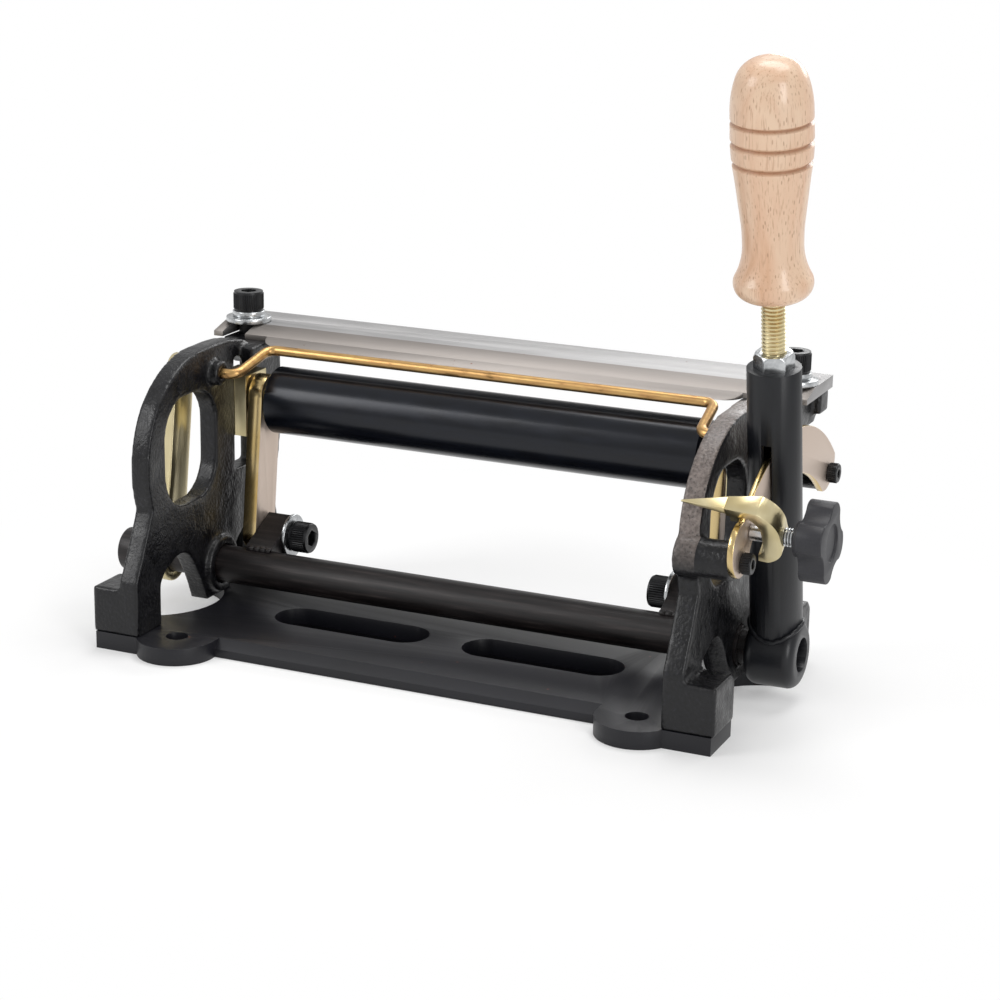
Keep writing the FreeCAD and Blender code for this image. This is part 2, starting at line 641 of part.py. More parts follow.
def wooden_grip():
    # Turned in beech: a small flare at the bottom, a long swell and a rounded top with three rings.
    body = new_body("wooden_grip")
    low, high = size("grip_low"), size("grip_high")
    bore, stud = size("screw_radius"), size("stud_top")
    # Each step is a radius and a height above the grip's lower end.
    profile = outline((bore, low), (10, low), ((13.6, low + 3.4), (13.6, low + 7.4)),
                      ((11.2, low + 13.6), (10.6, low + 20)), ((10.7, low + 24), (11.1, low + 28)),
                      (13.1, low + 44), ((13.9, low + 50), (14.2, low + 57)), (14.1, low + 66),
                      ((13.6, low + 72), (12.2, low + 77.4)), ((8.6, low + 82.3), (3, high)), (0, high),
                      (0, stud),
                      (bore, stud))
    revolve(body, profile, "Z_Axis")
    rings = []
    wide, deep = size("ring_half"), size("ring_depth")
    for ring, radius in ((low + 48.5, 13.6), (low + 55.6, 14), (low + 62.8, 14.15)):
        rings += outline((radius - deep, ring), (radius + deep, ring - wide), (radius + deep, ring + wide))
    revolve(body, rings, "Z_Axis", "PartDesign::Groove")
    lean(body)


def hub_screw():
    # The set screw that locks the hub on the shaft, from behind.
    turn = FreeCAD.Rotation(Vector(1, 0, 0), -90)
    screw = doc.addObject("Part::Cylinder", "SetScrew")
    screw.Placement = FreeCAD.Placement(Vector(), turn)
    bind(screw, Radius="set_screw_radius", Height="hub_radius - journal_radius - 0.8")
    place(screw, "0", "journal_radius", "0")
    socket = hexagon("set_screw_radius / 2", "3", turn, "0", "hub_radius - 3.3", "0")
    finish(lean(cut(screw, socket)), "hub_set_screw")


lever()
wooden_grip()
hub_screw()


# sector plate on the right frame's bosses, and its two screws
def sector():
    body = new_body("sector_plate")
    inner, outer, lobe = size("sector_inner"), size("sector_outer"), size("sector_lobe")
    front = (size("front_hole_reach"), size("front_hole_angle"))
    rear = (size("rear_hole_reach"), size("rear_hole_angle"))
    spread = math.degrees(lobe / size("sector_inner"))
    mid = (front[1] + rear[1]) / 2
    tail = size("sector_tail")
    shape = outline(polar(tail, rear[1] - 1),
                    (polar(size("sector_crown"), mid), polar(outer, front[1] - 8)),
                    (polar(front[0] + 3, front[1] + spread), polar(front[0] - lobe, front[1] - 1)),
                    polar(inner, front[1] - 9), (polar(inner, mid), polar(inner + 1, rear[1] + 1)),
                    (polar(inner + 9, rear[1] - 0.75 * spread), polar(tail, rear[1] - 1)))
    holes = circle(polar(*front), size("small_screw_radius")) + circle(polar(*rear), size("small_screw_radius"))
    pad(body, "YZ_Plane", shape + holes, "sector_thick", size("sector_start"))
    for name in ("front", "rear"):
        turn = "%s_hole_angle" % name
        reach = "%s_hole_reach" % name
        deep = "shaft_deep + %s * cos(%s)" % (reach, turn)
        high = "shaft_high + %s * sin(%s)" % (reach, turn)
        head = rod("small_head_radius", "sector_start + sector_thick", "small_head", deep, high)
        shank = rod("small_screw_radius", "sector_start + sector_thick - small_screw_long",
                    "small_screw_long", deep, high)
        socket = hexagon("small_head_radius / 2", "small_socket_long", FreeCAD.Rotation(Vector(0, 1, 0), 90),
                         "sector_start + sector_thick + small_head - small_socket_long", deep, high)
        finish(cut(fuse(head, shank), socket), "sector_screw_" + name)


sector()


# stop clamp with its pointer, its screw and the star knob, built upright and then turned about the shaft
def swing(item):
    turn = FreeCAD.Rotation(Vector(1, 0, 0), size("clamp_angle") - 90)
    base = Vector(0, size("shaft_deep"), size("shaft_high"))
    item.Placement = FreeCAD.Placement(base, turn).multiply(item.Placement)
    return item


def stop_clamp():
    # A hook bent over the plate's rim; each point is an X and a distance from the shaft axis.
    body = new_body("stop_clamp")
    half, top, jaw = size("clamp_half"), size("clamp_top"), size("jaw_low")
    roof, root = size("jaw_roof"), size("jaw_start")
    gap = size("sector_start") - size("jaw_gap")
    bend = size("clamp_bend")
    hook = outline((root, jaw), (root, top), (bend, top), ((140.6, 83), (142.9, 76)), (142.9, 70),
                   ((141, 64.2), (136.4, 60.5)), (133, 60.9), (133.4, 64.2), ((135.4, 66.2), (136.1, 69.5)),
                   (136.3, 76), ((135.5, 80.3), (132.6, roof)), (gap, roof), (gap, jaw))
    pad(body, "XZ_Plane", hook, "2 * clamp_half", -half)
    hole = circle((0, size("clamp_screw_reach")), size("clamp_screw_radius") + size("running_gap"))
    pocket(body, "YZ_Plane", hole, "knob_hub_start - sector_start",
           size("sector_start") + size("sector_thick"), True)
    # Seen from above the hook narrows from its bend towards the pointer, and its jaw is narrower still.
    before, wide = size("pointer_before"), size("pointer_behind")
    ahead = outline((root - 0.1, -before), (bend, -half), (bend, -half - 1), (root - 0.1, -half - 1))
    behind = outline((root - 0.1, wide), (bend, half), (bend, half + 1), (root - 0.1, half + 1))
    pocket(body, "XY_Plane", ahead + behind, "clamp_top + 1 - jaw_low", top + 1)
    front = -size("jaw_front")
    jaw_side = outline((root - 1, front), (gap + 0.01, front), (gap + 0.01, -half - 1), (root - 1, -half - 1))
    pocket(body, "XY_Plane", jaw_side, "jaw_roof + 1 - jaw_low", roof)
    swing(body)
    # The pointer grows out of the hook's top and narrows to a point over the right frame's rim.
    body = new_body("pointer")
    tip, aside, low = size("pointer_tip"), size("pointer_aside"), size("pointer_low")
    blunt = size("pointer_blunt")
    wedge = outline((tip, -aside - blunt), (root, -before), (root, wide), (tip, blunt - aside))
    pad(body, "XY_Plane", wedge, "clamp_top - pointer_low", low)
    below = outline((tip - 1, low - 1), (root + 1, low - 1), (root + 1, low), (tip - 1, top - 2 * blunt))
    pocket(body, "XZ_Plane", below, "4 * clamp_half", 2 * half)
    swing(body)


def knob():
    # A star knob with a shallow dish in its outer face, on a stud that bears on the sector plate.
    body = new_body("clamp_knob")
    count = int(size("lobe_count"))
    step = 2 * math.pi / count
    spread = math.radians(size("lobe_spread"))
    flank, tip, waist = size("lobe_flank"), size("lobe_tip"), size("lobe_waist")

    def around(reach, angle):
        return (reach * math.cos(angle), reach * math.sin(angle))

    shape = []
    for index in range(count):
        middle = math.radians(size("lobe_turn")) + index * step
        rise, fall = around(flank, middle - spread), around(flank, middle + spread)
        shape.append((rise, around(tip, middle), fall))
        shape.append((fall, around(waist, middle + step / 2), around(flank, middle + step - spread)))
    pad(body, "YZ_Plane", shape, "knob_long", size("knob_start"))
    pocket(body, "YZ_Plane", circle((0, 0), size("knob_dish")), "knob_dish_deep",
           size("knob_start") + size("knob_long"))
    pad(body, "YZ_Plane", circle((0, 0), size("knob_hub_radius")), "knob_start - knob_hub_start",
        size("knob_hub_start"))
    pocket(body, "YZ_Plane", circle((0, 0), size("clamp_screw_radius")), "knob_sink",
           size("knob_hub_start"), True)
    body.Placement = FreeCAD.Placement(Vector(0, 0, size("clamp_screw_reach")), FreeCAD.Rotation())
    swing(body)
    stud = rod("clamp_screw_radius", "sector_start + sector_thick",
               "knob_hub_start + knob_sink - sector_start - sector_thick", "0", "clamp_screw_reach")
    finish(swing(chamfered(stud, size("thread_chamfer"))), "clamp_stud")


stop_clamp()
knob()


# collar and arm on the shaft's left end
def left_end():
    collar = rod("collar_radius", "-collar_end", "collar_end - collar_start", *SHAFT)
    bore = rod("journal_radius", "-shaft_left_end", "shaft_left_end", *SHAFT)
    finish(cut(collar, bore), "shaft_collar")


def side_arm():
    body = new_body("side_arm")
    half, reach = size("arm_half"), size("arm_reach")
    shape = outline((-half, reach), ((0, reach + half), (half, reach)), (half, 6), ((0, -10.5), (-half, 6)))
    pad(body, "YZ_Plane", shape + circle((0, 0), size("journal_radius")), "arm_thick",
        -size("arm_start"), True)
    body.Placement = FreeCAD.Placement(Vector(0, size("shaft_deep"), size("shaft_high")),
                                       FreeCAD.Rotation(Vector(1, 0, 0), size("arm_lean")))


left_end()
side_arm()


# screws that hold the frames on the base plate, sunk into its underside
def foot_screws():
    for name, side in SIDES:
        for end, deep in (("front", "-foot_screw_deep"), ("rear", "foot_screw_deep")):
            across = "%d * foot_screw_across" % side
            head = post("foot_head_radius", "foot_head", across, deep, "foot_sink")
            shank = post("foot_screw_radius", "foot_screw_long", across, deep, "foot_sink")
            socket = hexagon("foot_screw_radius - 0.4", "foot_socket", FreeCAD.Rotation(), across, deep,
                             "foot_sink")
            finish(cut(fuse(head, shank), socket), "foot_screw_%s_%s" % (name, end))


foot_screws()
doc.recompute()


# checks and export
for item in doc.Objects:
    if "Invalid" in item.State or "Error" in item.State:
        raise RuntimeError("%s failed: %s" % (item.Label, item.State))
os.makedirs("parts", exist_ok=True)
for part in PARTS:
    shape = part.Shape
    if shape.isNull() or not shape.isValid():
        raise RuntimeError("%s has no valid shape" % part.Label)
    shape.exportStep("parts/%s.step" % part.Label)
    around = shape.BoundBox
    print("%-22s %2d solids %9.0f mm3  x %.1f..%.1f y %.1f..%.1f z %.1f..%.1f" % (
        part.Label, len(shape.Solids), shape.Volume, around.XMin, around.XMax, around.YMin, around.YMax,
        around.ZMin, around.ZMax))
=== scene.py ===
import bpy
import bmesh
import json
import math
from mathutils import Matrix, Vector


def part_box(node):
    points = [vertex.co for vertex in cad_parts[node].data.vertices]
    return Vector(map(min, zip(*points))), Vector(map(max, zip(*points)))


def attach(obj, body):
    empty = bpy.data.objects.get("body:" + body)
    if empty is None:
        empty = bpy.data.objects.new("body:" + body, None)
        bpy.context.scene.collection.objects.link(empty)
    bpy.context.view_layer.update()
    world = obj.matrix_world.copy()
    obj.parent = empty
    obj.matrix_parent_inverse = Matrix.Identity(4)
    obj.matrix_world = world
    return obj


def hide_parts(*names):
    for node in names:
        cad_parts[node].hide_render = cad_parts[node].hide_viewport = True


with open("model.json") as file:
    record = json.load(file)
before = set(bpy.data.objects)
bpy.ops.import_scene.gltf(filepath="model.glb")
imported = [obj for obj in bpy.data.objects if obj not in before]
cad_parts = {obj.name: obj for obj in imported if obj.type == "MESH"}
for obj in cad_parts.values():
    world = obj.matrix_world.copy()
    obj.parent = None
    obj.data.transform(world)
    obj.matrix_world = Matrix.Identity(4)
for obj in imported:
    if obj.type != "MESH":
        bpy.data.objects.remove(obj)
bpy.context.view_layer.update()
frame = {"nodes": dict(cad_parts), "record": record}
print("frame loaded")

mm = 0.001
bothSides = ("left", "right")
shaft = Vector((0, 6.2 * mm, 19.8 * mm))
leverAxis = {"across": 129.2 * mm, "lean": math.radians(10.2)}
leverFoot = (leverAxis["across"], shaft.y, shaft.z)
leverMatrix = Matrix.Translation(leverFoot) @ Matrix.Rotation(leverAxis["lean"], 4, "X")
clampTurn = math.radians(36.2)  # from upright to the line that joins the shaft and the stop clamp
clampMatrix = Matrix.Translation(shaft) @ Matrix.Rotation(clampTurn, 4, "X")
toRight = Matrix.Rotation(math.pi / 2, 4, "Y")
bodyOf = {name: body for body, names in frame["record"]["behaviour"]["bodies"].items() for name in names}


# small tools shared by every piece and material

def linear(text):
    # sRGB hex, such as c4c2c2, to linear red, green, blue and alpha
    levels = [int(text[i:i + 2], 16) / 255 for i in (0, 2, 4)]
    return tuple(v / 12.92 if v <= 0.04045 else ((v + 0.055) / 1.055) ** 2.4 for v in levels) + (1.0,)


def grains(*sizes):
    # the mapping scale at which one grain of a pattern is so many mm long, wide and high
    return tuple(1 / (size * mm) for size in sizes)


def addNode(tree, kind, inputs=None, give=None, stops=None, **settings):
    # one node with its settings; an input is a number, a hex colour or another node's output
    node = tree.nodes.new(kind)
    for name, value in settings.items():
        setattr(node, name, value)
    for key, value in (inputs or {}).items():
        if isinstance(value, bpy.types.NodeSocket):
            tree.links.new(value, node.inputs[key])
        else:
            node.inputs[key].default_value = linear(value) if isinstance(value, str) else value
    if stops:
        elements = node.color_ramp.elements
        while len(elements) < len(stops):
            elements.new(0.5)
        for element, (place, colour) in zip(elements, stops):
            element.position = place
            element.color = linear(colour) if isinstance(colour, str) else (colour, colour, colour, 1)
    return node if give is None else node.outputs[give]


def startMaterial(name, **values):
    material = bpy.data.materials.new(name)
    material.use_nodes = True
    tree = material.node_tree
    shader = tree.nodes["Principled BSDF"]
    for label, value in values.items():
        shader.inputs[label.replace("_", " ")].default_value = value
    return material, tree, shader, addNode(tree, "ShaderNodeTexCoord", give="Object")


def sideways(tree):
    # 1 on a face that looks straight to the left or right, 0 on one that looks forwards or up
    facing = addNode(tree, "ShaderNodeNewGeometry", give="True Normal")
    facing = addNode(tree, "ShaderNodeSeparateXYZ", {0: facing}, "X")
    return addNode(tree, "ShaderNodeMath", {0: facing}, 0, operation="ABSOLUTE")


def addRust(tree, place, colour, rust):
    # pin-point rust: round specks, kept only where a broad cloud is dense
    cells = addNode(tree, "ShaderNodeMapping", {"Vector": place, "Scale": grains(*rust["apart"])}, "Vector")
    cells = addNode(tree, "ShaderNodeTexVoronoi", {"Vector": cells, "Scale": 1.0}, "Distance")
    speck = addNode(tree, "ShaderNodeValToRGB", {"Fac": cells}, "Color", rust["speck"])
    patch = addNode(tree, "ShaderNodeMapping", {"Vector": place, "Scale": grains(*rust["patch"])}, "Vector")
    patch = addNode(tree, "ShaderNodeTexNoise", {"Vector": patch, "Scale": 1.0, "Detail": 1.0}, "Fac")
    patch = addNode(tree, "ShaderNodeValToRGB", {"Fac": patch}, "Color", rust["dense"])
    spots = addNode(tree, "ShaderNodeMath", {0: speck, 1: patch}, 0, operation="MULTIPLY")
    return addNode(tree, "ShaderNodeMix", {0: spots, 6: colour, 7: rust["colour"]}, 2, data_type="RGBA")


# materials

def makeCastPaint(name="castIronPaint"):
    # Black machine paint brushed over a sand casting: the sand's grain shows as small glossy specks, drawn
    # somewhat coarser than real moulding sand so that they show
    material, tree, shader, place = startMaterial(name, Specular_IOR_Level=0.35, Coat_Weight=0.12,
                                                  Coat_Roughness=0.15)
    sand = addNode(tree, "ShaderNodeMapping", {"Vector": place, "Scale": grains(1.3, 1.3, 1.3)}, "Vector")
    sand = addNode(tree, "ShaderNodeTexNoise", {"Vector": sand, "Scale": 1.0, "Detail": 2.0}, "Fac")
    lumps = addNode(tree, "ShaderNodeMapping", {"Vector": place, "Scale": grains(7, 7, 7)}, "Vector")
    lumps = addNode(tree, "ShaderNodeTexNoise", {"Vector": lumps, "Scale": 1.0, "Detail": 1.0}, "Fac")
    colour = addNode(tree, "ShaderNodeValToRGB", {"Fac": sand}, "Color",
                     ((0.35, "050507"), (0.62, "0c0c10"), (0.78, "1b1b22")))
    tree.links.new(colour, shader.inputs["Base Color"])
    rough = addNode(tree, "ShaderNodeMapRange", {"Value": lumps, "From Min": 0.35, "From Max": 0.65,
                                                 "To Min": 0.28, "To Max": 0.46}, 0)
    tree.links.new(rough, shader.inputs["Roughness"])
    height = addNode(tree, "ShaderNodeMath", {0: lumps, 1: 1.6, 2: sand}, 0, operation="MULTIPLY_ADD")
    relief = addNode(tree, "ShaderNodeBump", {"Height": height, "Distance": 0.4 * mm, "Strength": 0.8},
                     "Normal")
    tree.links.new(relief, shader.inputs["Normal"])
    return material, tree, shader, place, sand, colour


# the rubbed part of the right casting's rim lies outside a circle round the rim's middle, to the left of
# the bosses that carry the sector plate and in front of the blade; it is bare down to one height and gone at
# another
rubbed = {"middle": (111 * mm, -6 * mm, 72.5 * mm), "circle": 32.5 * mm, "bosses": 115.4 * mm,
          "gone": 64 * mm, "bare": 78 * mm, "blade": 34 * mm}


def makeWornCasting():
    # The same casting with its rim rubbed to bare brown-grey iron where the pointer and the hand pass
    material, tree, shader, place, sand, painted = makeCastPaint("wornCastIron")
    rimFace = addNode(tree, "ShaderNodeMapRange", {"Value": sideways(tree), "From Min": 0.75,
                                                   "From Max": 0.5}, 0)
    spot = addNode(tree, "ShaderNodeSeparateXYZ", {0: place})
    middle = addNode(tree, "ShaderNodeVectorMath", {0: place, 1: rubbed["middle"]}, 0, operation="SUBTRACT")
    middle = addNode(tree, "ShaderNodeVectorMath", {0: middle, 1: (0, 1, 1)}, 0, operation="MULTIPLY")
    middle = addNode(tree, "ShaderNodeVectorMath", {0: middle}, "Value", operation="LENGTH")
    outside = addNode(tree, "ShaderNodeMath", {0: middle, 1: rubbed["circle"]}, 0, operation="GREATER_THAN")
    within = addNode(tree, "ShaderNodeMath", {0: spot.outputs["X"], 1: rubbed["bosses"]}, 0,
                     operation="LESS_THAN")
    high = addNode(tree, "ShaderNodeMapRange", {"Value": spot.outputs["Z"], "From Min": rubbed["gone"],
                                                "From Max": rubbed["bare"]}, 0)
    front = addNode(tree, "ShaderNodeMath", {0: spot.outputs["Y"], 1: rubbed["blade"]}, 0,
                    operation="LESS_THAN")
    pits = addNode(tree, "ShaderNodeMapping", {"Vector": place, "Scale": grains(1.1, 1.1, 1.1)}, "Vector")
    pits = addNode(tree, "ShaderNodeTexNoise", {"Vector": pits, "Scale": 1.0, "Detail": 3.0,
                                                "Roughness": 0.7}, "Fac")
    mask = addNode(tree, "ShaderNodeValToRGB", {"Fac": pits}, "Color", ((0.3, 0.2), (0.44, 1.0)))
    for part in (rimFace, outside, within, high, front):
        mask = addNode(tree, "ShaderNodeMath", {0: mask, 1: part}, 0, operation="MULTIPLY")
    iron = addNode(tree, "ShaderNodeValToRGB", {"Fac": sand}, "Color", ((0.3, "5d5551"), (0.7, "857b76")))
    colour = addNode(tree, "ShaderNodeMix", {0: mask, 6: painted, 7: iron}, 2, data_type="RGBA")
    tree.links.new(colour, shader.inputs["Base Color"])
    return material


plateRust = {"apart": (7, 7, 7), "speck": ((0.05, 1.0), (0.09, 0.0)), "patch": (22, 22, 22),
             "dense": ((0.55, 0.0), (0.6, 1.0)), "colour": "5a3228"}


def makePlatePaint():
    # Satin black on a smooth ground plate, with a few specks of rust; the paint's fine texture is drawn
    # coarse enough to show
    material, tree, shader, place = startMaterial("plateSatinPaint", Roughness=0.42, Specular_IOR_Level=0.4)
    wide = addNode(tree, "ShaderNodeMapping", {"Vector": place, "Scale": grains(30, 18, 18)}, "Vector")
    cloud = addNode(tree, "ShaderNodeTexNoise", {"Vector": wide, "Scale": 1.0, "Detail": 3.0}, "Fac")
    colour = addNode(tree, "ShaderNodeValToRGB", {"Fac": cloud}, "Color", ((0.3, "0d0d12"), (0.7, "15151b")))
    colour = addRust(tree, place, colour, plateRust)
    tree.links.new(colour, shader.inputs["Base Color"])
    fine = addNode(tree, "ShaderNodeMapping", {"Vector": place, "Scale": grains(0.6, 0.6, 0.6)}, "Vector")
    fine = addNode(tree, "ShaderNodeTexNoise", {"Vector": fine, "Scale": 1.0}, "Fac")
    relief = addNode(tree, "ShaderNodeBump", {"Height": fine, "Distance": 0.05 * mm, "Strength": 0.5},
                     "Normal")
    tree.links.new(relief, shader.inputs["Normal"])
    return material


bladeRust = {"apart": (5, 5, 5), "speck": ((0.05, 1.0), (0.1, 0.0)), "patch": (16, 16, 16),
             "dense": ((0.6, 0.0), (0.66, 1.0)), "colour": "6a4436"}


def makeGroundSteel():
    # Surface-ground tool steel: fine scratches run along the blade, with faint stains and pin-point rust. The
    # scratches are drawn several times as wide as real ones so that they show; the bevel carries painted
    # shade, a brownish grey on its forward-facing faces
    material, tree, shader, place = startMaterial("groundToolSteel", Metallic=1.0)
    lines = addNode(tree, "ShaderNodeMapping", {"Vector": place, "Scale": grains(14, 0.16, 0.16)}, "Vector")
    lines = addNode(tree, "ShaderNodeTexNoise", {"Vector": lines, "Scale": 1.0}, "Fac")
    stains = addNode(tree, "ShaderNodeMapping", {"Vector": place, "Scale": grains(26, 9, 9)}, "Vector")
    stains = addNode(tree, "ShaderNodeTexNoise", {"Vector": stains, "Scale": 1.0, "Detail": 4.0}, "Fac")
    colour = addNode(tree, "ShaderNodeMix", {0: stains, 6: "9c9b9b", 7: "b9b8b8"}, 2, data_type="RGBA")
    dark = addNode(tree, "ShaderNodeValToRGB", {"Fac": lines}, "Color", ((0.35, 0.3), (0.65, 0.0)))
    colour = addNode(tree, "ShaderNodeMix", {0: dark, 6: colour, 7: "7b7978"}, 2, data_type="RGBA")
    # painted shade: faces that look forwards, as the bevel does, are mixed towards a darker brownish grey
    bevel = addNode(tree, "ShaderNodeNewGeometry", give="True Normal")
    bevel = addNode(tree, "ShaderNodeSeparateXYZ", {0: bevel}, "Y")
    bevel = addNode(tree, "ShaderNodeMapRange", {"Value": bevel, "From Min": -0.12, "From Max": -0.2,
                                                 "To Max": 0.7}, 0)
    colour = addNode(tree, "ShaderNodeMix", {0: bevel, 6: colour, 7: "827a73"}, 2, data_type="RGBA")
    colour = addRust(tree, place, colour, bladeRust)
    tree.links.new(colour, shader.inputs["Base Color"])
    rough = addNode(tree, "ShaderNodeMapRange", {"Value": stains, "To Min": 0.5, "To Max": 0.62}, 0)
    tree.links.new(rough, shader.inputs["Roughness"])
    relief = addNode(tree, "ShaderNodeBump", {"Height": lines, "Distance": 0.02 * mm, "Strength": 0.4},
                     "Normal")
    tree.links.new(relief, shader.inputs["Normal"])
    return material


def makeBlackRoller():
    # Turned steel, chemically blackened: rings from the tool, drawn coarse enough to show, and a cold blue
    # sheen in the highlights
    material, tree, shader, place = startMaterial("blackenedRoller", Metallic=0.35)
    marks = addNode(tree, "ShaderNodeMapping", {"Vector": place, "Scale": grains(12, 3, 3)}, "Vector")
    marks = addNode(tree, "ShaderNodeTexNoise", {"Vector": marks, "Scale": 1.0, "Detail": 4.0}, "Fac")
    colour = addNode(tree, "ShaderNodeMix", {0: marks, 6: "090a0e", 7: "121722"}, 2, data_type="RGBA")
    tree.links.new(colour, shader.inputs["Base Color"])
    rough = addNode(tree, "ShaderNodeMapRange", {"Value": marks, "To Min": 0.14, "To Max": 0.3}, 0)
    tree.links.new(rough, shader.inputs["Roughness"])
    rings = addNode(tree, "ShaderNodeMapping", {"Vector": place, "Scale": grains(0.35, 40, 40)}, "Vector")
    rings = addNode(tree, "ShaderNodeTexNoise", {"Vector": rings, "Scale": 1.0}, "Fac")
    relief = addNode(tree, "ShaderNodeBump", {"Height": rings, "Distance": 0.02 * mm, "Strength": 0.25},
                     "Normal")
    tree.links.new(relief, shader.inputs["Normal"])
    return material


def makeScaledSteel():
    # Hot-rolled shaft steel, dark brown with streaks of mill scale along its length
    material, tree, shader, place = startMaterial("scaledShaftSteel", Metallic=0.25, Roughness=0.42)
    streaks = addNode(tree, "ShaderNodeMapping", {"Vector": place, "Scale": grains(22, 1.6, 1.6)}, "Vector")
    streaks = addNode(tree, "ShaderNodeTexNoise", {"Vector": streaks, "Scale": 1.0, "Detail": 4.0}, "Fac")
    colour = addNode(tree, "ShaderNodeValToRGB", {"Fac": streaks}, "Color",
                     ((0.32, "0f0d0e"), (0.55, "1f1a1a"), (0.78, "3a3433")))
    tree.links.new(colour, shader.inputs["Base Color"])
    relief = addNode(tree, "ShaderNodeBump", {"Height": streaks, "Distance": 0.12 * mm, "Strength": 0.4},
                     "Normal")
    tree.links.new(relief, shader.inputs["Normal"])
    return material


# platings: the tones that the bloom drifts between, the bloom's size in mm and the roughness; on strip also
# the painted reflection of the pale surroundings on its side faces, and those faces' roughness
platings = {
    "yellowZincPlate": {"tones": ((0.32, "cab98a"), (0.5, "ddd0a8"), (0.68, "d0c296")),
                        "bloom": (22, 14, 18), "rough": 0.28},
    "zincPlatedStrip": {"tones": ((0.32, "c0a468"), (0.5, "cfb887"), (0.68, "c7ae78")),
                        "bloom": (20, 14, 18), "rough": 0.24, "paintedReflection": "cfbfb2", "rolledRough": 0.5},
    "goldPlatedWire": {"tones": ((0.25, "7a603c"), (0.36, "b48c5c"), (0.75, "c9a66b")),
                       "bloom": (7, 2, 2), "rough": 0.34},
    "brightZincPlate": {"tones": ((0.3, "a2a4a6"), (0.7, "cfd1d2")), "bloom": (4, 4, 4), "rough": 0.26},
}


def makeZinc(name):
    # Chromated or bright zinc: the plating's bloom drifts slowly between near tones; on strip the rolled
    # faces, which look to the sides, are rougher and carry a painted reflection of the pale surroundings in
    # pink-tan, unlike the cut edges. The fine lines under the plating are drawn coarse enough to show
    plating = platings[name]
    material, tree, shader, place = startMaterial(name, Metallic=1.0, Roughness=plating["rough"])
    bloom = grains(*plating["bloom"])
    bloom = addNode(tree, "ShaderNodeMapping", {"Vector": place, "Scale": bloom}, "Vector")
    bloom = addNode(tree, "ShaderNodeTexNoise", {"Vector": bloom, "Scale": 1.0, "Detail": 2.0}, "Fac")
    colour = addNode(tree, "ShaderNodeValToRGB", {"Fac": bloom}, "Color", plating["tones"])
    if "paintedReflection" in plating:
        # painted reflection: faces that look to the sides take the pink-tan of the pale surroundings, and are
        # rougher
        rolledAndReflecting = addNode(tree, "ShaderNodeMapRange", {"Value": sideways(tree), "From Min": 0.7,
                                                      "From Max": 0.95}, 0)
        colour = addNode(tree, "ShaderNodeMix", {0: rolledAndReflecting, 6: colour, 7: plating["paintedReflection"]}, 2,
                         data_type="RGBA")
        dull = addNode(tree, "ShaderNodeMapRange", {"Value": rolledAndReflecting, "To Min": plating["rough"],
                                                    "To Max": plating["rolledRough"]}, 0)
        tree.links.new(dull, shader.inputs["Roughness"])
    tree.links.new(colour, shader.inputs["Base Color"])
    fine = addNode(tree, "ShaderNodeMapping", {"Vector": place, "Scale": grains(0.4, 0.4, 5)}, "Vector")
    fine = addNode(tree, "ShaderNodeTexNoise", {"Vector": fine, "Scale": 1.0}, "Fac")
    relief = addNode(tree, "ShaderNodeBump", {"Height": fine, "Distance": 0.02 * mm, "Strength": 0.3},
                     "Normal")
    tree.links.new(relief, shader.inputs["Normal"])
    return material


def makeLeverPaint():
    # Satin black on drawn tube, smooth enough to carry a long soft highlight; its fine texture is drawn
    # coarse enough to show
    material, tree, shader, place = startMaterial("leverSatinBlack", Roughness=0.36, Specular_IOR_Level=0.4)
    cloud = addNode(tree, "ShaderNodeMapping", {"Vector": place, "Scale": grains(12, 12, 25)}, "Vector")
    cloud = addNode(tree, "ShaderNodeTexNoise", {"Vector": cloud, "Scale": 1.0, "Detail": 3.0}, "Fac")
    colour = addNode(tree, "ShaderNodeValToRGB", {"Fac": cloud}, "Color", ((0.3, "0b0c10"), (0.72, "13151a")))
    tree.links.new(colour, shader.inputs["Base Color"])
    fine = addNode(tree, "ShaderNodeMapping", {"Vector": place, "Scale": grains(0.8, 0.8, 0.8)}, "Vector")
    fine = addNode(tree, "ShaderNodeTexNoise", {"Vector": fine, "Scale": 1.0, "Detail": 3.0}, "Fac")
    relief = addNode(tree, "ShaderNodeBump", {"Height": fine, "Distance": 0.04 * mm, "Strength": 0.5},
                     "Normal")
    tree.links.new(relief, shader.inputs["Normal"])
    return material


def makeBlackScrew():
    # Black oxide on hardened socket screws, a little oily
    material, tree, shader, place = startMaterial("blackOxideScrew", Metallic=0.3, Roughness=0.36)
    cloud = addNode(tree, "ShaderNodeMapping", {"Vector": place, "Scale": grains(2.5, 2.5, 2.5)}, "Vector")
    cloud = addNode(tree, "ShaderNodeTexNoise", {"Vector": cloud, "Scale": 1.0, "Detail": 3.0}, "Fac")
    colour = addNode(tree, "ShaderNodeValToRGB", {"Fac": cloud}, "Color", ((0.3, "0b0b0d"), (0.75, "1b1c1f")))
    tree.links.new(colour, shader.inputs["Base Color"])
    return material


def makeKnobPlastic():
    # Moulded thermoset with a fine matte texture, drawn coarse enough to show
    material, tree, shader, place = startMaterial("mouldedKnobPlastic", Roughness=0.5)
    fine = addNode(tree, "ShaderNodeMapping", {"Vector": place, "Scale": grains(0.45, 0.45, 0.45)}, "Vector")
    fine = addNode(tree, "ShaderNodeTexNoise", {"Vector": fine, "Scale": 1.0, "Detail": 3.0}, "Fac")
    colour = addNode(tree, "ShaderNodeValToRGB", {"Fac": fine}, "Color", ((0.3, "1b1b20"), (0.7, "26262b")))
    tree.links.new(colour, shader.inputs["Base Color"])
    relief = addNode(tree, "ShaderNodeBump", {"Height": fine, "Distance": 0.06 * mm, "Strength": 0.5},
                     "Normal")
    tree.links.new(relief, shader.inputs["Normal"])
    return material


# the grip's turned rings: their heights above the lever's foot, and how far the burnt line spreads
gripRings = {"heights": (188.0 * mm, 195.1 * mm, 202.3 * mm), "burnt": 0.3 * mm, "clean": 1.0 * mm}


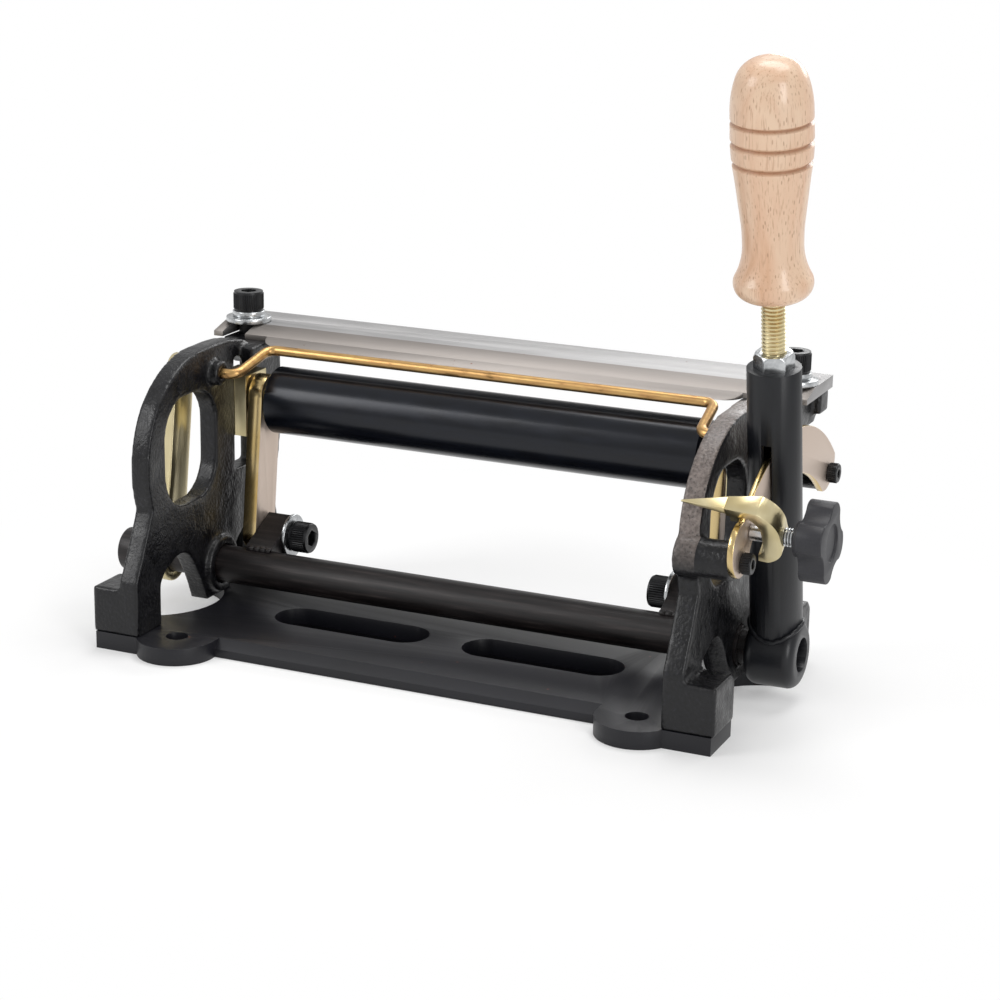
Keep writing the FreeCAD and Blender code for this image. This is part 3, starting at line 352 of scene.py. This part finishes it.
def makeBeech():
    # Steamed beech, turned and lacquered: pale pink-brown with short dark ray flecks along the grain,
    # and burnt lines in the three turned rings
    material, tree, shader, place = startMaterial("lacqueredBeech", Roughness=0.36, Coat_Weight=0.3)
    upright = addNode(tree, "ShaderNodeVectorMath", {0: place, 1: leverFoot}, 0, operation="SUBTRACT")
    upright = addNode(tree, "ShaderNodeMapping", {"Vector": upright, "Rotation": (-leverAxis["lean"], 0, 0)},
                      "Vector")
    broad = addNode(tree, "ShaderNodeMapping", {"Vector": upright, "Scale": grains(11, 11, 60)}, "Vector")
    broad = addNode(tree, "ShaderNodeTexNoise", {"Vector": broad, "Scale": 1.0, "Detail": 4.0,
                                                 "Distortion": 0.7}, "Fac")
    colour = addNode(tree, "ShaderNodeValToRGB", {"Fac": broad}, "Color",
                     ((0.28, "c8966f"), (0.45, "dab496"), (0.62, "e2c4a8"), (0.8, "cfa283")))
    pores = addNode(tree, "ShaderNodeMapping", {"Vector": upright, "Scale": grains(0.5, 0.5, 8)}, "Vector")
    pores = addNode(tree, "ShaderNodeTexNoise", {"Vector": pores, "Scale": 1.0, "Detail": 3.0}, "Fac")
    dark = addNode(tree, "ShaderNodeValToRGB", {"Fac": pores}, "Color", ((0.33, 0.45), (0.45, 0.0)))
    colour = addNode(tree, "ShaderNodeMix", {0: dark, 6: colour, 7: "a97c5c"}, 2, data_type="RGBA")
    cells = addNode(tree, "ShaderNodeMapping", {"Vector": upright, "Scale": grains(1.3, 1.3, 5)}, "Vector")
    cells = addNode(tree, "ShaderNodeTexVoronoi", {"Vector": cells, "Scale": 1.0}, "Distance")
    fleck = addNode(tree, "ShaderNodeValToRGB", {"Fac": cells}, "Color", ((0.14, 0.5), (0.22, 0.0)))
    colour = addNode(tree, "ShaderNodeMix", {0: fleck, 6: colour, 7: "946a4c"}, 2, data_type="RGBA")
    along = addNode(tree, "ShaderNodeSeparateXYZ", {0: upright}, "Z")
    for height in gripRings["heights"]:
        gap = addNode(tree, "ShaderNodeMath", {0: along, 1: height}, 0, operation="SUBTRACT")
        gap = addNode(tree, "ShaderNodeMath", {0: gap}, 0, operation="ABSOLUTE")
        near = addNode(tree, "ShaderNodeMapRange", {"Value": gap, "From Min": gripRings["burnt"],
                                                    "From Max": gripRings["clean"], "To Min": 0.65,
                                                    "To Max": 0.0}, 0)
        colour = addNode(tree, "ShaderNodeMix", {0: near, 6: colour, 7: "96603c"}, 2, data_type="RGBA")
    tree.links.new(colour, shader.inputs["Base Color"])
    relief = addNode(tree, "ShaderNodeBump", {"Height": pores, "Distance": 0.05 * mm, "Strength": 0.25},
                     "Normal")
    tree.links.new(relief, shader.inputs["Normal"])
    return material


castPaint = makeCastPaint()[0]
wornCasting = makeWornCasting()
platePaint = makePlatePaint()
groundSteel = makeGroundSteel()
blackRoller = makeBlackRoller()
scaledSteel = makeScaledSteel()
yellowZinc = makeZinc("yellowZincPlate")
stripZinc = makeZinc("zincPlatedStrip")
goldWire = makeZinc("goldPlatedWire")
brightZinc = makeZinc("brightZincPlate")
leverPaint = makeLeverPaint()
blackScrew = makeBlackScrew()
knobPlastic = makeKnobPlastic()
beech = makeBeech()
print("materials made")

# the finish of every node; a dressed copy takes its node's finish
finishes = {
    "base_plate": platePaint, "left_frame": castPaint, "right_frame": wornCasting, "blade": groundSteel,
    "guard_wire": goldWire, "roller": blackRoller, "roller_axle": blackRoller, "rocker_shaft": scaledSteel,
    "shaft_collar": scaledSteel, "side_arm": yellowZinc, "lever_hub": leverPaint, "lever_tube": leverPaint,
    "hub_set_screw": blackScrew, "handle_stud": yellowZinc, "jam_nut": brightZinc, "wooden_grip": beech,
    "sector_plate": stripZinc, "sector_screw_front": blackScrew, "sector_screw_rear": blackScrew,
    "stop_clamp": yellowZinc, "pointer": yellowZinc, "clamp_stud": brightZinc, "clamp_knob": knobPlastic,
}
for side in bothSides:
    finishes["crank_arm_" + side] = scaledSteel
    finishes["link_bar_" + side] = stripZinc
    finishes["guide_block_" + side] = yellowZinc
    finishes["link_screw_" + side] = blackScrew
    finishes["blade_screw_" + side] = blackScrew
    finishes["link_washer_" + side] = brightZinc
    finishes["blade_washer_" + side] = brightZinc
    finishes["lock_ring_" + side] = brightZinc
    for end in ("front", "rear"):
        finishes["foot_screw_%s_%s" % (side, end)] = blackScrew

for name, node in frame["nodes"].items():
    node.data.materials.clear()
    node.data.materials.append(finishes[name])


# dressed copies of the machined and cast nodes

def plainMesh(item, name):
    # the evaluated shape as a plain mesh object at the origin
    bpy.context.view_layer.update()
    evaluated = item.evaluated_get(bpy.context.evaluated_depsgraph_get())
    result = bpy.data.objects.new(name, bpy.data.meshes.new_from_object(evaluated))
    bpy.context.collection.objects.link(result)
    bpy.data.objects.remove(item)
    return result


# corners that are closer than the gap become one, and triangles that are this flat to one another one face
merging = {"gap": 0.0005 * mm, "flat": math.radians(0.6)}


def blankCopy(name):
    # the node's triangles merged into one smooth-shaded surface, on an object of its own
    mesh = frame["nodes"][name].data.copy()
    work = bmesh.new()
    work.from_mesh(mesh)
    bmesh.ops.remove_doubles(work, verts=work.verts, dist=merging["gap"])
    bmesh.ops.dissolve_limit(work, angle_limit=merging["flat"], verts=work.verts, edges=work.edges)
    work.to_mesh(mesh)
    work.free()
    for face in mesh.polygons:
        face.use_smooth = True
    item = bpy.data.objects.new(name + "_blank", mesh)
    bpy.context.collection.objects.link(item)
    return item


def dressNode(item, name):
    piece = plainMesh(item, name + "_finished")
    piece.data.materials.clear()
    piece.data.materials.append(finishes[name])
    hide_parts(name)
    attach(piece, bodyOf[name])


# the two side frames: every edge of a sand casting is round
casting = {"voxel": 0.85 * mm, "rounds": 7, "pull": 0.5}
for side in bothSides:
    item = blankCopy(side + "_frame")
    remesh = item.modifiers.new("skin", "REMESH")
    remesh.mode = "VOXEL"
    remesh.voxel_size = casting["voxel"]
    remesh.use_smooth_shade = True
    smooth = item.modifiers.new("rounding", "SMOOTH")
    smooth.factor = casting["pull"]
    smooth.iterations = casting["rounds"]
    dressNode(item, side + "_frame")
print("castings rounded")

# machined pieces: the width of the broken edge in mm, its segments, and the angle in degrees up to which an
# edge is left alone
rounding = {
    "base_plate": (0.9, 3, 30), "lever_hub": (0.5, 2, 40), "lever_tube": (0.5, 2, 30),
    "stop_clamp": (0.5, 2, 30), "pointer": (0.3, 2, 30), "clamp_knob": (1.0, 3, 30),
    "sector_plate": (0.4, 2, 30), "side_arm": (0.5, 2, 30), "shaft_collar": (0.8, 3, 30),
    "blade": (0.12, 1, 10), "jam_nut": (0.25, 2, 20), "sector_screw_front": (0.35, 2, 30),
    "sector_screw_rear": (0.35, 2, 30),
}
for side in bothSides:
    rounding["crank_arm_" + side] = (1.2, 3, 30)
    rounding["link_bar_" + side] = (0.45, 2, 30)
    rounding["link_screw_" + side] = (0.5, 3, 30)
    rounding["blade_screw_" + side] = (0.5, 3, 30)
    rounding["blade_washer_" + side] = (0.4, 2, 30)
    rounding["lock_ring_" + side] = (0.3, 2, 30)
    rounding["link_washer_" + side] = (0.3, 2, 30)
    rounding["guide_block_" + side] = (0.5, 2, 30)

for name, (width, segments, angle) in rounding.items():
    item = blankCopy(name)
    bevel = item.modifiers.new("edges", "BEVEL")
    bevel.width = width * mm
    bevel.segments = segments
    bevel.limit_method = "ANGLE"
    bevel.angle_limit = math.radians(angle)
    bevel.harden_normals = True
    bevel.miter_outer = "MITER_ARC"
    dressNode(item, name)
print("edges broken")


# repeated details, each a Geometry Nodes tree

def startTree(name, sizes):
    tree = bpy.data.node_groups.new(name, "GeometryNodeTree")
    for label, kind in sizes:
        tree.interface.new_socket(label, in_out="INPUT", socket_type=kind)
    tree.interface.new_socket("Mesh", in_out="OUTPUT", socket_type="NodeSocketGeometry")
    return tree, tree.nodes.new("NodeGroupInput").outputs


def endTree(tree, mesh, material):
    whole = addNode(tree, "GeometryNodeRealizeInstances", {0: mesh}, 0)
    painted = addNode(tree, "GeometryNodeSetMaterial", {"Geometry": whole, "Material": material}, 0)
    addNode(tree, "NodeGroupOutput", {0: painted})
    return tree


def growPiece(name, tree, values, matrix, body):
    item = bpy.data.objects.new(name + "_seed", bpy.data.meshes.new(name + "_seed"))
    bpy.context.collection.objects.link(item)
    modifier = item.modifiers.new("grow", "NODES")
    modifier.node_group = tree
    for socket in tree.interface.items_tree:
        if socket.in_out == "INPUT":
            modifier[socket.identifier] = values[socket.name]
    piece = plainMesh(item, name)
    piece.data.transform(matrix)
    for face in piece.data.polygons:
        face.use_smooth = False
    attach(piece, body)


def makeRidgeTree(material):
    # straight ridges round a socket screw's head
    tree, given = startTree("headRidges", (("Radius", "NodeSocketFloat"), ("Height", "NodeSocketFloat"),
                                           ("Count", "NodeSocketInt"), ("Ridge", "NodeSocketFloat")))
    ring = addNode(tree, "GeometryNodeMeshCircle", {"Vertices": given["Count"], "Radius": given["Radius"]}, 0)
    size = {0: given["Ridge"], 1: given["Ridge"], 2: given["Height"]}
    size = addNode(tree, "ShaderNodeCombineXYZ", size, 0)
    bar = addNode(tree, "GeometryNodeMeshCube", {"Size": size}, 0)
    spot = addNode(tree, "ShaderNodeSeparateXYZ", {0: addNode(tree, "GeometryNodeInputPosition", give=0)})
    angle = addNode(tree, "ShaderNodeMath", {0: spot.outputs["Y"], 1: spot.outputs["X"]}, 0,
                    operation="ARCTAN2")
    corner = addNode(tree, "ShaderNodeMath", {0: angle, 1: math.pi / 4}, 0, operation="ADD")
    turn = addNode(tree, "ShaderNodeCombineXYZ", {2: corner}, 0)
    bars = addNode(tree, "GeometryNodeInstanceOnPoints", {"Points": ring, "Instance": bar, "Rotation": turn},
                   0)
    return endTree(tree, bars, material)


def makeThreadTree(material):
    # the crests of a screw thread, as rings of a small four-sided section
    tree, given = startTree("threadCrests", (("Radius", "NodeSocketFloat"), ("Length", "NodeSocketFloat"),
                                             ("Pitch", "NodeSocketFloat"), ("Crest", "NodeSocketFloat")))
    count = addNode(tree, "ShaderNodeMath", {0: given["Length"], 1: given["Pitch"]}, 0, operation="DIVIDE")
    step = addNode(tree, "ShaderNodeCombineXYZ", {2: given["Pitch"]}, 0)
    line = addNode(tree, "GeometryNodeMeshLine", {"Count": count, "Offset": step}, 0)
    ring = addNode(tree, "GeometryNodeCurvePrimitiveCircle", {"Resolution": 40, "Radius": given["Radius"]}, 0)
    section = addNode(tree, "GeometryNodeCurvePrimitiveCircle", {"Resolution": 4, "Radius": given["Crest"]},
                      0)
    crest = addNode(tree, "GeometryNodeCurveToMesh", {"Curve": ring, "Profile Curve": section}, 0)
    crests = addNode(tree, "GeometryNodeInstanceOnPoints", {"Points": line, "Instance": crest}, 0)
    return endTree(tree, crests, material)


# ridges on the heads of the cap screws and of the two small screws of the sector plate; Middle is the way
# from the head's outer face to its middle
headRidges = {"Radius": 5.95 * mm, "Height": 6.2 * mm, "Count": 44, "Ridge": 0.42 * mm, "Middle": 4 * mm}
smallRidges = {"Radius": 3.6 * mm, "Height": 3.0 * mm, "Count": 30, "Ridge": 0.34 * mm, "Middle": 2 * mm}
ridgeTree = makeRidgeTree(blackScrew)
for side in bothSides:
    low, high = (Vector(corner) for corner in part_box("blade_screw_" + side))
    spot = Matrix.Translation(((low.x + high.x) / 2, (low.y + high.y) / 2, high.z - headRidges["Middle"]))
    growPiece("blade_screw_ridges_" + side, ridgeTree, headRidges, spot, "stand")
    low, high = (Vector(corner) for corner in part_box("link_screw_" + side))
    across = high.x - headRidges["Middle"] if side == "left" else low.x + headRidges["Middle"]
    spot = Matrix.Translation((across, (low.y + high.y) / 2, (low.z + high.z) / 2)) @ toRight
    growPiece("link_screw_ridges_" + side, ridgeTree, headRidges, spot, "rocker")
for end in ("front", "rear"):
    low, high = (Vector(corner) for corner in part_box("sector_screw_" + end))
    across = high.x - smallRidges["Middle"]
    spot = Matrix.Translation((across, (low.y + high.y) / 2, (low.z + high.z) / 2)) @ toRight
    growPiece("sector_screw_ridges_" + end, ridgeTree, smallRidges, spot, "stand")

# thread crests on the bare part of the handle's stud and of the clamp's stud; Start is the first crest's
# place, from the lever's foot and from the shaft's middle
studThread = {"Radius": 3.95 * mm, "Length": 20 * mm, "Pitch": 1.41 * mm, "Crest": 0.42 * mm,
              "Start": (0, 0, 119.6 * mm)}
clampThread = {"Radius": 2.95 * mm, "Length": 4.2 * mm, "Pitch": 1 * mm, "Crest": 0.36 * mm,
               "Start": (143.3 * mm, 0, 71.3 * mm)}
growPiece("handle_stud_thread", makeThreadTree(yellowZinc), studThread,
          leverMatrix @ Matrix.Translation(studThread["Start"]), "rocker")
growPiece("clamp_stud_thread", makeThreadTree(brightZinc), clampThread,
          clampMatrix @ Matrix.Translation(clampThread["Start"]) @ toRight, "knob")
print("ridges and threads grown")


# weld beads, where the tube meets the hub and where each crank's foot meets the shaft

def weldBead(name, points, closed, bead, matrix, material):
    curve = bpy.data.curves.new(name, "CURVE")
    curve.dimensions = "3D"
    spline = curve.splines.new("POLY")
    spline.points.add(len(points) - 1)
    for target, point in zip(spline.points, points):
        target.co = (*point, 1)
    spline.use_cyclic_u = closed
    curve.bevel_depth = bead
    curve.bevel_resolution = 3
    curve.use_fill_caps = not closed
    item = bpy.data.objects.new(name + "_path", curve)
    bpy.context.collection.objects.link(item)
    piece = plainMesh(item, name)
    piece.data.transform(matrix)
    piece.data.materials.append(material)
    for face in piece.data.polygons:
        face.use_smooth = True
    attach(piece, "rocker")


# the tube's foot meets the round hub in a saddle-shaped line, and the bead rises and falls in small waves
hubWeld = {"hub": 13.0 * mm, "tube": 9.75 * mm, "bead": 0.9 * mm, "points": 72, "ripple": 0.18 * mm,
           "waves": 19}
path = []
for index in range(hubWeld["points"]):
    turn = 2 * math.pi * index / hubWeld["points"]
    across, deep = hubWeld["tube"] * math.cos(turn), hubWeld["tube"] * math.sin(turn)
    saddle = math.sqrt(hubWeld["hub"] ** 2 - deep ** 2)
    path.append((across, deep, saddle + hubWeld["ripple"] * math.sin(turn * hubWeld["waves"])))
weldBead("hub_weld_bead", path, True, hubWeld["bead"], leverMatrix, leverPaint)

# the bead at a crank's foot runs across, from start to end; its other two places are measured from the
# shaft's middle, along the crank and square to it, and wave is the ripple's angle from end to end
crankWeld = {"start": 83.6 * mm, "end": 94 * mm, "along": 3.3 * mm, "above": 7.0 * mm, "bead": 1.3 * mm,
             "points": 40, "turn": math.radians(25.6), "ripple": 0.25 * mm, "wave": 25}
crankMatrix = Matrix.Translation(shaft) @ Matrix.Rotation(crankWeld["turn"], 4, "X")
for side, sign in zip(bothSides, (-1, 1)):
    path = []
    for index in range(crankWeld["points"]):
        share = index / (crankWeld["points"] - 1)
        across = crankWeld["start"] + share * (crankWeld["end"] - crankWeld["start"])
        above = crankWeld["above"] + crankWeld["ripple"] * math.sin(share * crankWeld["wave"])
        path.append((sign * across, crankWeld["along"], above))
    weldBead("crank_weld_bead_" + side, path, False, crankWeld["bead"], crankMatrix, scaledSteel)
print("welds laid")


# floor, lights and camera

# the floor in metres: half its side, and the radii at which its shadow starts to fade and is all background;
# least is the background's share at the middle. The painted shadow under the plate is an oval of the dark
# colour, given as one over its half length and half width, with a soft edge
ground = {"half": 4.0, "shadow": 0.11, "white": 0.26, "least": 0.25, "pale": "f6f6f6", "dark": "141416",
          "oval": (11, 33, 0), "edge": (1.0, 1.15)}

# how bright the surroundings are to rough surfaces, to mirrors and to the camera
surroundings = {"soft": 0.34, "mirror": 0.7, "seen": 1.0}

# each lamp's place, the point it looks at, its two sides in metres and its power in watts
lamps = {"overhead": ((0.1, 0.25, 1.1), (0.0, 0.0, 0.05), (0.9, 0.5), 7.5),
         "frontLeft": ((-0.9, -0.9, 0.8), (0.0, 0.0, 0.08), (0.6, 0.8), 7.5),
         "frontRight": ((1.1, -0.8, 0.5), (0.05, 0.0, 0.1), (0.4, 0.7), 6.0),
         "behind": ((0.2, 1.1, 0.55), (0.0, 0.0, 0.08), (1.0, 0.3), 4.0)}


def layFloor():
    # under the machine the floor keeps its shadow; away from it, it fades to the white background
    half = ground["half"]
    mesh = bpy.data.meshes.new("floor")
    corners = [(-half, -half, 0), (half, -half, 0), (half, half, 0), (-half, half, 0)]
    mesh.from_pydata(corners, [], [(0, 1, 2, 3)])
    floor = bpy.data.objects.new("floor", mesh)
    bpy.context.collection.objects.link(floor)
    material = bpy.data.materials.new("paleFloor")
    material.use_nodes = True
    tree = material.node_tree
    tree.nodes.clear()
    path = addNode(tree, "ShaderNodeLightPath")
    distance = addNode(tree, "ShaderNodeTexCoord", give="Object")
    distance = addNode(tree, "ShaderNodeVectorMath", {0: distance}, "Value", operation="LENGTH")
    away = addNode(tree, "ShaderNodeMapRange", {"Value": distance, "From Min": ground["shadow"],
                                                "From Max": ground["white"], "To Min": ground["least"]}, 0)
    # right under the plate the floor carries a painted dark shadow, so that the slots stay dark
    under = addNode(tree, "ShaderNodeTexCoord", give="Object")
    under = addNode(tree, "ShaderNodeVectorMath", {0: under, 1: ground["oval"]}, 0, operation="MULTIPLY")
    under = addNode(tree, "ShaderNodeVectorMath", {0: under}, "Value", operation="LENGTH")
    under = addNode(tree, "ShaderNodeMapRange", {"Value": under, "From Min": ground["edge"][0],
                                                 "From Max": ground["edge"][1]}, 0)
    pale = addNode(tree, "ShaderNodeMix", {0: under, 6: ground["dark"], 7: ground["pale"]}, 2,
                   data_type="RGBA")
    diffuse = addNode(tree, "ShaderNodeBsdfDiffuse", {"Color": pale}, 0)
    white = addNode(tree, "ShaderNodeEmission", {"Color": "ffffff", "Strength": 1.0}, 0)
    factor = addNode(tree, "ShaderNodeMath", {0: path.outputs["Is Camera Ray"],
                                              1: path.outputs["Is Glossy Ray"]}, 0, operation="MAXIMUM")
    for part in (away, under):
        factor = addNode(tree, "ShaderNodeMath", {0: factor, 1: part}, 0, operation="MULTIPLY")
    mixed = addNode(tree, "ShaderNodeMixShader", {0: factor, 1: diffuse, 2: white}, 0)
    addNode(tree, "ShaderNodeOutputMaterial", {"Surface": mixed})
    mesh.materials.append(material)


def lightStudio():
    world = bpy.data.worlds.new("studio")
    world.use_nodes = True
    tree = world.node_tree
    tree.nodes.clear()
    path = addNode(tree, "ShaderNodeLightPath")
    soft = addNode(tree, "ShaderNodeBackground", {"Color": "ffffff", "Strength": surroundings["soft"]}, 0)
    seen = addNode(tree, "ShaderNodeBackground", {"Color": "ffffff", "Strength": surroundings["seen"]}, 0)
    mirror = addNode(tree, "ShaderNodeBackground", {"Color": "ffffff", "Strength": surroundings["mirror"]}, 0)
    mixed = addNode(tree, "ShaderNodeMixShader", {0: path.outputs["Is Glossy Ray"], 1: soft, 2: mirror}, 0)
    mixed = addNode(tree, "ShaderNodeMixShader", {0: path.outputs["Is Camera Ray"], 1: mixed, 2: seen}, 0)
    addNode(tree, "ShaderNodeOutputWorld", {"Surface": mixed})
    bpy.context.scene.world = world
    for name, (spot, aim, size, power) in lamps.items():
        lamp = bpy.data.lights.new(name, "AREA")
        lamp.shape = "RECTANGLE"
        lamp.size, lamp.size_y = size
        lamp.energy = power
        item = bpy.data.objects.new(name, lamp)
        item.location = spot
        item.rotation_euler = (Vector(aim) - Vector(spot)).to_track_quat("-Z", "Y").to_euler()
        bpy.context.collection.objects.link(item)


# the photograph's camera, as fitted: angles in degrees, lens and sensor in mm
view = {"azimuth": 23.776, "elevation": 16.283, "roll": 0.989, "lens": 88.83, "sensor": 36.0,
        "spot": (380.7 * mm, -819.7 * mm, 326.3 * mm)}


def placeCamera():
    turn, rise, roll = (math.radians(view[key]) for key in ("azimuth", "elevation", "roll"))
    right = Vector((math.cos(turn), math.sin(turn), 0))
    ahead = Vector((-math.sin(turn) * math.cos(rise), math.cos(turn) * math.cos(rise), -math.sin(rise)))
    up = right.cross(ahead)
    side = right * math.cos(roll) + up * math.sin(roll)
    top = up * math.cos(roll) - right * math.sin(roll)
    axes = Matrix((side, top, -ahead)).transposed()
    data = bpy.data.cameras.new("photographCamera")
    data.lens = view["lens"]
    data.sensor_width = view["sensor"]
    data.clip_start = 10 * mm
    camera = bpy.data.objects.new("photographCamera", data)
    camera.matrix_world = Matrix.Translation(view["spot"]) @ axes.to_4x4()
    bpy.context.collection.objects.link(camera)
    bpy.context.scene.camera = camera


layFloor()
lightStudio()
placeCamera()
bpy.context.scene.view_settings.view_transform = "Standard"
print("studio set")
